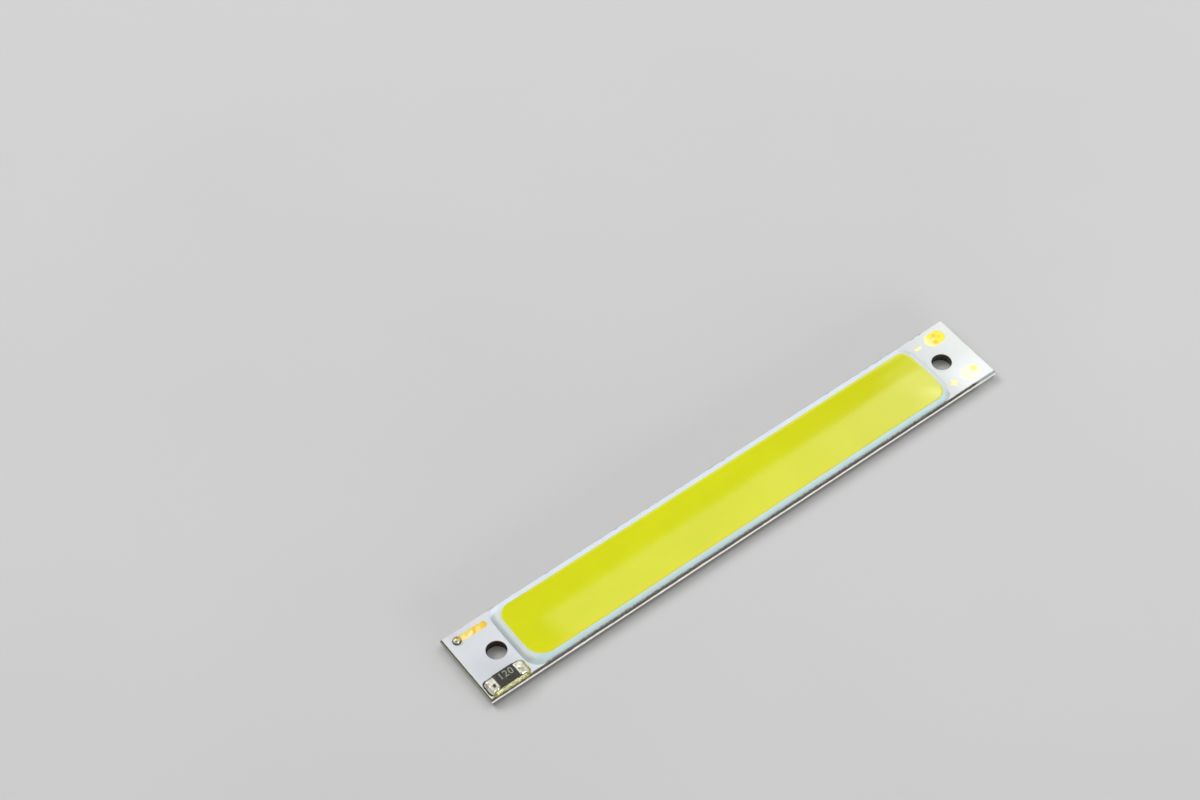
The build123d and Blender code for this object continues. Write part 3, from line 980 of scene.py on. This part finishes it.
def add_flux(material):
    """Set flux round the resistor and its solder: a bank on the near side and a thin dark line elsewhere,
    which is partly a painted shadow outline.
    """
    half_x, half_y, corner = joint_high.x - resistor_x + 0.06, body_half_width - 0.01, 0.35
    path = []
    for quarter, (side_x, side_y) in enumerate(((1, 1), (-1, 1), (-1, -1), (1, -1))):
        centre = Vector((side_x * (half_x - corner), side_y * (half_y - corner)))
        for i in range(9):
            turn = math.pi / 2 * (quarter + i / 8)
            out = Vector((math.cos(turn), math.sin(turn)))
            path.append((centre + out * corner, out))
    line = []
    for (start, start_out), (end, end_out) in zip(path, path[1:] + path[:1]):
        steps = max(1, round((end - start).length / 0.06))
        line += [(start.lerp(end, i / steps), start_out.lerp(end_out, i / steps)) for i in range(steps)]
    steps = 8
    rings = [[] for _ in range(steps + 2)]
    for point, out in line:
        near = smooth_step(-0.5, -1.0, out.y) * smooth_step(2.0, 1.6, abs(point.x))
        inner = smooth_step(0.5, 1.0, out.x)
        uneven = 1 + 0.2 * ripple(point.x, point.y, size=0.5, seed=14)
        width = (0.15 + 0.10 * near + 0.05 * inner) * min(uneven, 1.05)
        tall = (0.10 + 0.27 * near + 0.10 * inner) * uneven
        for i, ring in enumerate(rings):
            share = max(0, i - 1) / steps
            place = point + out * (-0.05 + (width + 0.05) * share)
            lift = 0.0 if i == 0 else (1 - share) ** 1.4 * (1 + 0.5 * share)
            ring.append((resistor_x + place.x, resistor_y + place.y, mask_top + tall * lift))
    shape = bmesh.new()
    loft(shape, rings, closed=True)
    add_piece("flux_bank", shape, material, "flux", "flux_residue", sharp_angle=60)


# Floor, lights and camera

PHOTO_WIDTH = 1200
FOCAL_PIXELS = 2616
CAMERA_YAW = math.radians(35.37)
CAMERA_PITCH = math.radians(53.08)
CAMERA_ROLL = math.radians(2.07)
# Where the middle of the board's top face lies from the level camera: to the right, up and ahead
BOARD_SEEN_AT = (11.568, -9.831, 244.56)


def camera_axes():
    """The camera's right, up and ahead before its roll, and its place in millimetres."""
    turn = Matrix.Rotation(-CAMERA_YAW, 3, "Z")
    right = turn @ Vector((1, 0, 0))
    up = turn @ Vector((0, math.sin(CAMERA_PITCH), math.cos(CAMERA_PITCH)))
    ahead = turn @ Vector((0, math.cos(CAMERA_PITCH), -math.sin(CAMERA_PITCH)))
    to_right, to_up, to_ahead = BOARD_SEEN_AT
    place = Vector((0, 0, mask_top)) - right * to_right - up * to_up - ahead * to_ahead
    return right, up, ahead, place


def add_camera():
    """The camera, at the photograph's viewing angle and framing."""
    level_right, level_up, ahead, place = camera_axes()
    right = level_right * math.cos(CAMERA_ROLL) - level_up * math.sin(CAMERA_ROLL)
    up = level_right * math.sin(CAMERA_ROLL) + level_up * math.cos(CAMERA_ROLL)
    data = bpy.data.cameras.new("camera")
    data.sensor_width = 36
    data.lens = data.sensor_width * FOCAL_PIXELS / PHOTO_WIDTH
    data.clip_start, data.clip_end = 0.01, 20
    camera = new_object("camera", data)
    turn = Matrix((right, up, -ahead)).transposed()
    camera.matrix_world = Matrix.Translation(place * MM) @ turn.to_4x4()
    bpy.context.scene.camera = camera


def shows_at(x, y, height):
    """Where a light at a given height must be for the camera to see it mirrored in a point of the gel."""
    camera_place = camera_axes()[3]
    point = Vector((x, y, dam_high.z))
    way = point - camera_place
    way.z = -way.z
    return point + way * (height / way.z)


def add_light(name, place, aim, width, length, power):
    """A soft, white, rectangular lamp, in millimetres and watts, aimed at a point."""
    data = bpy.data.lights.new(name, "AREA")
    data.shape = "RECTANGLE"
    data.size, data.size_y = width * MM, length * MM
    data.energy = power
    lamp = new_object(name, data)
    lamp.location = Vector(place) * MM
    lamp.rotation_euler = (Vector(aim) - Vector(place)).to_track_quat("-Z", "Y").to_euler()
    return lamp


def add_mirrored_light(name, x, y, height, width, length, power):
    """A level lamp overhead whose far left corner the camera sees mirrored in a point of the gel."""
    corner = shows_at(x, y, height)
    turn = math.radians(1.5)
    along = Vector((math.cos(turn), math.sin(turn), 0))
    nearer = Vector((math.sin(turn), -math.cos(turn), 0))
    place = corner + along * width / 2 + nearer * length / 2
    add_light(name, place, place - Vector((0, 0, 1)), width, length, power).rotation_euler.z += turn


def add_floor():
    """A plain pale floor, just under the board."""
    surface = Surface("floor", {"Roughness": 0.8})
    material = surface.coloured(surface.blend(surface.noise(60.0), (205, 205, 205), (209, 209, 209)))
    shape = bmesh.new()
    bmesh.ops.create_grid(shape, x_segments=1, y_segments=1, size=2.0)
    mesh = bpy.data.meshes.new("floor")
    shape.to_mesh(mesh)
    shape.free()
    mesh.materials.append(material)
    floor = new_object("floor", mesh)
    floor.location.z = -0.01 * MM


def add_world():
    """Even daylight from all round, brighter overhead."""
    world = bpy.data.worlds.new("studio")
    world.use_nodes = True
    tree = world.node_tree
    sky = tree.nodes.new("ShaderNodeTexCoord")
    split = tree.nodes.new("ShaderNodeSeparateXYZ")
    ramp = tree.nodes.new("ShaderNodeValToRGB")
    ramp.color_ramp.elements[0].color = (0.235, 0.235, 0.235, 1)
    ramp.color_ramp.elements[1].color = (0.45, 0.45, 0.45, 1)
    tree.links.new(sky.outputs["Generated"], split.inputs[0])
    tree.links.new(split.outputs["Z"], ramp.inputs[0])
    tree.links.new(ramp.outputs[0], tree.nodes["Background"].inputs["Color"])
    bpy.context.scene.world = world


def add_stage():
    """Everything that isn't the object."""
    add_floor()
    add_world()
    add_mirrored_light("key", -21.4, 0.42, 400, 320, 260, 0.47)
    for name, x, y, height, power in (
        ("glow_1", 2.5, 1.0, 396, 0.0084),
        ("glow_2", 10.0, 1.6, 392, 0.0169),
        ("glow_3", 16.5, 2.3, 388, 0.0112),
        ("glow_4", 21.0, 5.0, 384, 0.0340),
    ):
        add_mirrored_light(name, x, y, height, 120, 70, power)
    add_mirrored_light("spark", 22.3, -3.4, 380, 18, 14, 0.0032)
    add_light("far_side", (-160, 470, 480), (0, 0, 0), 440, 300, 2.6)
    add_light("front", (40, -460, 60), (0, 0, 0), 420, 90, 1.3)
    add_light("beside", (100, -40, 85), (26, 0, 0), 60, 60, 0.01)
    add_camera()
    bpy.context.scene.view_settings.view_transform = "Standard"


# The whole strip light

solder = solder_material()
gold = gold_material()
add_core(aluminium_material())
add_dielectric(dielectric_material())
add_mask(mask_material())
add_dam(silicone_material())
add_gel(phosphor_material())
add_resistor(ceramic_material(), overcoat_material(), tin_material(), ink_material())
add_joint("joint_left", -1, solder)
add_joint("joint_right", 1, solder)
add_dome(solder)
add_flux(flux_material())
chips = chip_material()
for node_name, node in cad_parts.items():
    if node_name.startswith("copper_"):
        node.material_slots[0].material = gold
    elif node_name.startswith("led_die_"):
        node.material_slots[0].material = chips
    elif node_name == "die_solder":
        node.material_slots[0].material = solder
add_stage()
